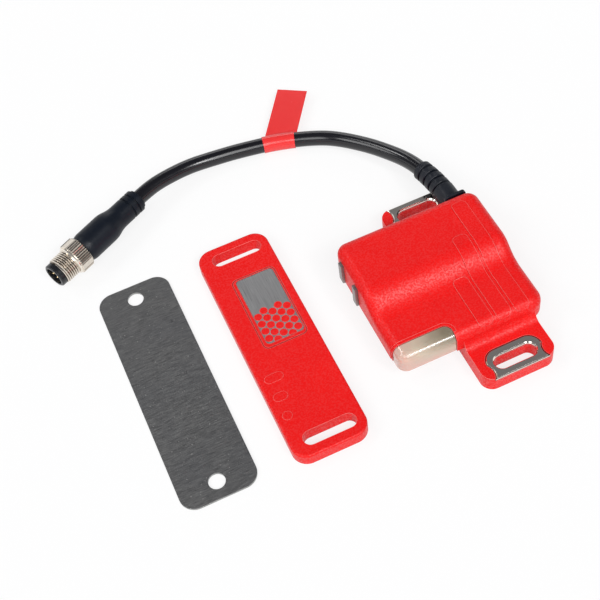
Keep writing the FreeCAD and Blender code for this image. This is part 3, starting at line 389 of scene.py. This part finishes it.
# Cable
# A round lead in glossy black jacket, 6.8 mm thick, from the boot to the connector.
# It is stiff enough to hold its curve, and lies on the table about the middle of its run.
cable_route = [
    (10.337, 56.708, 11.064), (9.205, 62.045, 10.365), (6.9, 68.4, 9.4), (3.4, 75.3, 8.3),
    (-2.0, 84.4, 6.9), (-11.4, 96.0, 5.1), (-20.0, 102.3, 4.3), (-35.0, 108.5, 3.9),
    (-53.0, 112.3, 3.85), (-65.2, 113.4, 4.3), (-77.2, 113.4, 5.5), (-90.1, 110.6, 6.9),
    (-97.92, 107.92, 7.4), (-103.9, 104.9, 7.4),
]
cable_radius = 3.4 * mm
cable_line = bpy.data.curves.new("cable", "CURVE")
cable_line.dimensions = "3D"
cable_line.bevel_depth = cable_radius
cable_line.bevel_resolution = 8
cable_line.use_fill_caps = True
spline = cable_line.splines.new("NURBS")
spline.points.add(len(cable_route) - 1)
for point, place_mm in zip(spline.points, cable_route):
    point.co = (*(Vector(place_mm) * mm), 1)
spline.order_u = 3
spline.use_endpoint_u = True
spline.resolution_u = 12
cable = bpy.data.objects.new("cable", cable_line)
bpy.context.scene.collection.objects.link(cable)
jacket = moulded_material(
    "cable_jacket", (0.003, 0.003, 0.006), (0.002, 0.002, 0.004),
    grain_scale=60, roughness=0.2, bump=0.0, specular=0.6, edge_r=0,
)
cable_line.materials.append(jacket)
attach(cable, "sensor")
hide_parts("cable_jacket")


# Flag label
# A strip of red polyester film wrapped round the cable, its two tails pressed together as a flag.
# The film is printed solid and left bare.
film = moulded_material(
    "label_film", (0.84, 0.035, 0.035), (0.80, 0.028, 0.028),
    grain_scale=900, roughness=0.22, bump=0.02, specular=0.6,
)
dress(film, "cable_flag_label")


# Connector body and contacts
# A black grip moulded over the cable end, with the plastic cup that carries eight gold-plated pins.
# The grip is matt, and the cup is a harder, smoother plastic.
grip = moulded_material(
    "connector_grip", (0.003, 0.006, 0.013), (0.002, 0.0045, 0.010),
    grain_scale=1800, roughness=0.42, bump=0.2, specular=0.28,
)
cup = moulded_material(
    "contact_carrier", (0.008, 0.009, 0.012), (0.006, 0.007, 0.009),
    grain_scale=1500, roughness=0.3, bump=0.1,
)
gold = metal_material(
    "gold_pins", (0.90, 0.72, 0.42), (0.80, 0.60, 0.32),
    roughness=0.2, spread=0.1, stretch=(900, 900, 900), bump=0.05,
)
dress(grip, "connector_body")
dress(cup, "contact_carrier")
dress(gold, "contact_pins")


# Coupling nut
# A nickel-plated brass screw that spins on the connector: a straight-knurled ring with three flats,
# a plain collar and a fine outside thread of 1 mm pitch, turned from one bar.
def as_piece(name, shape, material):
    """Make an object of a finished bmesh, with one material, and put it in the scene."""
    data = bpy.data.meshes.new(name)
    shape.to_mesh(data)
    shape.free()
    data.materials.append(material)
    piece = bpy.data.objects.new(name, data)
    bpy.context.scene.collection.objects.link(piece)
    return piece


nut_joint = next(joint for joint in frame["joints"] if joint["name"] == "nut_spin")
nut_axis = Vector(nut_joint["axis"])
nut_origin = Vector(nut_joint["pos_m"])
nut_back, knurl_end, collar_end, nut_front = -7.1 * mm, -1.0 * mm, 0.0 * mm, 7.0 * mm
nut_bore, knurl_r, collar_r, thread_r = 4.55 * mm, 7.35 * mm, 6.6 * mm, 6.0 * mm
nut_edge = 0.4 * mm
knurl_teeth, knurl_depth = 44, 0.4 * mm
flats, flat_r, flat_turn_deg = 3, 6.8 * mm, -5
thread_pitch, thread_depth, thread_steps = 1.0 * mm, 0.55 * mm, 48
core_r = thread_r - thread_depth - 0.05 * mm
merge_gap = 0.001 * mm
flat_shade = 0.25

nut_shape = bmesh.new()
groove = nut_shape.verts.layers.float.new("groove")
nut_profile = [
    (nut_back, nut_bore), (nut_back, knurl_r - nut_edge), (nut_back + nut_edge, knurl_r),
    (knurl_end - nut_edge, knurl_r), (knurl_end, knurl_r - nut_edge), (knurl_end, collar_r),
    (collar_end - nut_edge, collar_r), (collar_end, collar_r - nut_edge), (collar_end, core_r),
    (nut_front, core_r), (nut_front, nut_bore), (nut_back, nut_bore),
]
outline = [nut_shape.verts.new((x, 0, r)) for x, r in nut_profile]
chain = [nut_shape.edges.new(pair) for pair in zip(outline, outline[1:])]
bmesh.ops.spin(
    nut_shape, geom=outline + chain, cent=(0, 0, 0), axis=(1, 0, 0), angle=2 * math.pi,
    steps=2 * knurl_teeth, use_merge=True,
)
bmesh.ops.remove_doubles(nut_shape, verts=nut_shape.verts, dist=merge_gap)

# The knurl presses in every other column of the ring, and the flats are milled off afterwards; both are
# marked for painted shade.
ring_inner_r = collar_r - 0.1 * mm
for vert in nut_shape.verts:
    radius = math.hypot(vert.co.y, vert.co.z)
    if vert.co.x > knurl_end - merge_gap or radius < ring_inner_r:
        continue
    column = round(math.atan2(vert.co.z, vert.co.y) * knurl_teeth / math.pi)
    if column % 2:
        vert.co.yz = vert.co.yz * (1 - knurl_depth / radius)
        vert[groove] = 1
    for flat in range(flats):
        angle = math.radians(flat_turn_deg + flat * 360 / flats)
        over = vert.co.y * math.cos(angle) + vert.co.z * math.sin(angle) - flat_r
        if over > 0:
            vert.co.y -= over * math.cos(angle)
            vert.co.z -= over * math.sin(angle)
            vert[groove] = flat_shade

# The thread is one ridge wound along the core, given as shares of the pitch and of the depth.
tooth_profile = ((0.01, 1), (0.44, 0), (0.56, 0), (0.99, 1), (0.5, 1.3))
thread_start = collar_end - thread_pitch / 2
thread_turns = int((nut_front - thread_start) / thread_pitch)
tooth = [
    nut_shape.verts.new((thread_start + share * thread_pitch, 0, thread_r - drop * thread_depth))
    for share, drop in tooth_profile
]
ridge = [nut_shape.edges.new(pair) for pair in zip(tooth, tooth[1:] + tooth[:1])]
last = bmesh.ops.spin(
    nut_shape, geom=tooth + ridge, cent=(0, 0, 0), axis=(1, 0, 0), dvec=(thread_pitch / thread_steps, 0, 0),
    angle=2 * math.pi * thread_turns, steps=thread_steps * thread_turns,
)["geom_last"]
bmesh.ops.edgeloop_fill(nut_shape, edges=ridge)
bmesh.ops.edgeloop_fill(nut_shape, edges=[item for item in last if isinstance(item, bmesh.types.BMEdge)])
bmesh.ops.remove_doubles(nut_shape, verts=nut_shape.verts, dist=merge_gap)
bmesh.ops.recalc_face_normals(nut_shape, faces=nut_shape.faces)

# Its front end is chamfered at 45 degrees, and the bottom of the thread is marked for painted shade.
thread_bottom_r = thread_r - 0.7 * thread_depth
for vert in nut_shape.verts:
    radius = math.hypot(vert.co.y, vert.co.z)
    room = core_r + max(nut_front - vert.co.x, 0)
    if radius > room:
        vert.co.yz = vert.co.yz * (room / radius)
    if vert.co.x > collar_end and radius < thread_bottom_r:
        vert[groove] = 1
    vert.co.x = min(vert.co.x, nut_front)
nut_turn = Matrix.Rotation(math.atan2(nut_axis.y, nut_axis.x), 4, "Z")
nut_shape.transform(Matrix.Translation(nut_origin) @ nut_turn)
nickel = metal_material(
    "nickel_plate", (0.92, 0.86, 0.77), (0.82, 0.75, 0.66),
    roughness=0.24, spread=0.08, stretch=(900, 900, 900), bump=0.04,
)
# Painted shade: the knurl valleys and the thread bottoms are darkened towards brown in the colour, and the
# flats a quarter of the way.
painted_groove_shade = (0.24, 0.20, 0.16)
tree, shader, place, bright = reopen(nickel)
depth = add(tree, "Attribute", attribute_name="groove").outputs["Fac"]
tree.links.new(mix_colour(tree, depth, bright, painted_groove_shade), shader.inputs["Base Color"])
nut = as_piece("coupling_nut_threaded", nut_shape, nickel)
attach(nut, "coupling_nut")
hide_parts("coupling_nut")


# Actuator
# A flat red strip moulded with two cross slots, closed from behind by a cover over the coded tag.
# A brushed steel plate is let into its face.
dress(red_grained, "actuator_housing")
dress(red_plain, "actuator_back_cover")
dress(laminate, "tag_board")
dress(copper, "tag_coil")
dress(epoxy, "tag_chip")
inlay = metal_material(
    "inlay_steel", (0.76, 0.76, 0.75), (0.56, 0.56, 0.555),
    roughness=0.34, spread=0.3, stretch=(4200, 120, 120), bump=0.12,
)
dress(inlay, "steel_inlay")


# Inlay plugs
# The red plastic of the actuator fills the staggered round holes of the steel inlay, a little proud of it.
# A plug that meets the inlay's edge is cut short there.
low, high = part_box("steel_inlay")
plug_r, plug_pitch, column_pitch = 1.72 * mm, 3.8 * mm, 3.17 * mm
plug_rise, plug_sink, plug_edge = 0.06 * mm, 0.1 * mm, 0.03 * mm
plug_steps = 40
side_columns = 2
inlay_margin = 0.02 * mm
middle_x, first_y = low.x + 8.05 * mm, high.y - 20.5 * mm
plug_shape = bmesh.new()
for column in range(-side_columns, side_columns + 1):
    x = middle_x + column * column_pitch
    y = first_y + column % 2 * plug_pitch / 2
    while y > low.y:
        disc = bmesh.ops.create_circle(
            plug_shape, cap_ends=True, segments=plug_steps, radius=plug_r,
            matrix=Matrix.Translation((x, y, high.z - plug_sink)),
        )
        for vert in disc["verts"]:
            vert.co.x = min(max(vert.co.x, low.x + inlay_margin), high.x - inlay_margin)
            vert.co.y = max(vert.co.y, low.y + inlay_margin)
        y -= plug_pitch
bmesh.ops.remove_doubles(plug_shape, verts=plug_shape.verts, dist=merge_gap)
raised = bmesh.ops.extrude_face_region(plug_shape, geom=plug_shape.faces[:], use_keep_orig=True)["geom"]
bmesh.ops.translate(
    plug_shape, verts=[item for item in raised if isinstance(item, bmesh.types.BMVert)],
    vec=(0, 0, plug_rise + plug_sink),
)
bmesh.ops.recalc_face_normals(plug_shape, faces=plug_shape.faces)
top_edges = [item for item in raised if isinstance(item, bmesh.types.BMEdge)]
bmesh.ops.bevel(
    plug_shape, geom=top_edges, offset=plug_edge, affect="EDGES", segments=2, profile=0.5, material=-1,
)
plugs = as_piece("inlay_plugs", plug_shape, red_grained)
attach(plugs, "actuator")


# Steel plate
# A backing plate sheared from dark rolled steel sheet, brushed across its width, with two punched holes.
# Dull clouds lie over the brushing, and small bright specks show where it has caught.
cloud_colour, speck_colour = (0.27, 0.275, 0.285), (0.72, 0.71, 0.68)
cloud_scale, cloud_start, cloud_full, cloud_most = 45.0, 0.35, 0.65, 0.45
speck_scale, speck_start, speck_full = 1100.0, 0.70, 0.78
plate_steel = metal_material(
    "plate_steel", (0.42, 0.42, 0.41), (0.25, 0.25, 0.247),
    roughness=0.34, spread=0.3, stretch=(300, 2900, 400), bump=0.2,
)
tree, shader, place, brushed_colour = reopen(plate_steel)
cloud = add(tree, "TexNoise", {"Vector": place, "Scale": cloud_scale, "Detail": 3.0}).outputs["Fac"]
dull = remap(tree, cloud, cloud_start, cloud_full, new_end=cloud_most)
clouded = mix_colour(tree, dull, brushed_colour, cloud_colour)
dots = add(tree, "TexNoise", {"Vector": place, "Scale": speck_scale, "Detail": 1.0}).outputs["Fac"]
specked = mix_colour(tree, remap(tree, dots, speck_start, speck_full), clouded, speck_colour)
tree.links.new(specked, shader.inputs["Base Color"])
dress(plate_steel, "steel_plate")


# Table and light
# A white table top, seen mostly as white paper but keeping the shadow, with a white backdrop all round.
# A broad key and a narrow strip light stand in front, two lamps on the left and two weak ones behind.
def seen_directly(tree):
    """1 for what the camera, a mirror or glass sees, and 0 for light that falls on the object."""
    ray = add(tree, "LightPath").outputs
    seen = ray["Is Camera Ray"]
    for kind in ("Is Glossy Ray", "Is Transmission Ray"):
        seen = add(tree, "Math", {0: seen, 1: ray[kind]}, operation="MAXIMUM").outputs["Value"]
    return seen


table_half, table_gap = 6.0, 0.1 * mm
paper_share = 0.8
white, tree, shader, place = new_material("white_table")
shader.inputs["Base Color"].default_value = (0.94, 0.94, 0.94, 1)
shader.inputs["Roughness"].default_value = 0.9
shader.inputs["Specular IOR Level"].default_value = 0.1
paper = add(tree, "Emission", {"Color": (1, 1, 1, 1), "Strength": 1.0})
share = multiply(tree, seen_directly(tree), paper_share)
table_top = add(tree, "MixShader", {0: share, 1: shader.outputs["BSDF"], 2: paper.outputs["Emission"]})
tree.links.new(table_top.outputs["Shader"], tree.nodes["Material Output"].inputs["Surface"])
table_shape = bmesh.new()
bmesh.ops.create_grid(table_shape, x_segments=1, y_segments=1, size=table_half)
bmesh.ops.translate(table_shape, verts=table_shape.verts, vec=(0, 0, cad_box[0].z - table_gap))
floor = as_piece("table", table_shape, white)


def soft_light(name, strength, spread_deg, azimuth_deg, elevation_deg):
    """Broad distant light from an azimuth, 0 from the front and 90 from the right, and an elevation."""
    lamp = bpy.data.lights.new(name, "SUN")
    lamp.energy = strength
    lamp.angle = math.radians(spread_deg)
    holder = bpy.data.objects.new(name, lamp)
    azimuth, elevation = math.radians(azimuth_deg), math.radians(elevation_deg)
    reach = math.cos(elevation)
    source = Vector((reach * math.sin(azimuth), -reach * math.cos(azimuth), math.sin(elevation)))
    holder.rotation_mode = "QUATERNION"
    holder.rotation_quaternion = source.to_track_quat("Z", "Y")
    bpy.context.scene.collection.objects.link(holder)


soft_light("key", strength=1.5, spread_deg=36, azimuth_deg=8, elevation_deg=47)
soft_light("strip", strength=0.4, spread_deg=8, azimuth_deg=24, elevation_deg=47)
soft_light("left", strength=0.8, spread_deg=30, azimuth_deg=-45, elevation_deg=45)
soft_light("side", strength=0.6, spread_deg=24, azimuth_deg=-99, elevation_deg=40)
soft_light("rim", strength=0.3, spread_deg=12, azimuth_deg=220, elevation_deg=50)
soft_light("back", strength=0.2, spread_deg=20, azimuth_deg=162, elevation_deg=30)

# The world is a dim grey ceiling, with a white backdrop near the horizon that is seen but lights nothing.
ceiling_colour, backdrop_colour = (0.18, 0.18, 0.19), (1, 1, 1)
backdrop_end, backdrop_full = 0.34, 0.26
world = bpy.data.worlds.new("studio")
world.use_nodes = True
tree = world.node_tree
direction = add(tree, "SeparateXYZ", {"Vector": add(tree, "TexCoord").outputs["Generated"]})
backdrop = remap(tree, direction.outputs["Z"], backdrop_end, backdrop_full)
sky = mix_colour(tree, multiply(tree, seen_directly(tree), backdrop), ceiling_colour, backdrop_colour)
tree.links.new(sky, tree.nodes["Background"].inputs["Color"])
bpy.context.scene.world = world
bpy.context.scene.view_settings.view_transform = "Standard"


# Camera
# It stands in front of the set, on the left, and looks down steeply.
# It is turned a little to the right, and rolled a little about its own line of sight.
camera_place = (-0.13415, -0.2384, 0.38556)
heading_deg, down_deg, roll_deg = -15.38205, 54.49077, -10.4131
camera_data = bpy.data.cameras.new("camera")
camera_data.lens = 69.206
camera_data.sensor_width = 36.0
camera = bpy.data.objects.new("camera", camera_data)
camera.matrix_world = (
    Matrix.Translation(camera_place)
    @ Matrix.Rotation(math.radians(heading_deg), 4, "Z")
    @ Matrix.Rotation(math.radians(90 - down_deg), 4, "X")
    @ Matrix.Rotation(math.radians(roll_deg), 4, "Z")
)
bpy.context.scene.collection.objects.link(camera)
bpy.context.scene.camera = camera

bpy.context.view_layer.update()
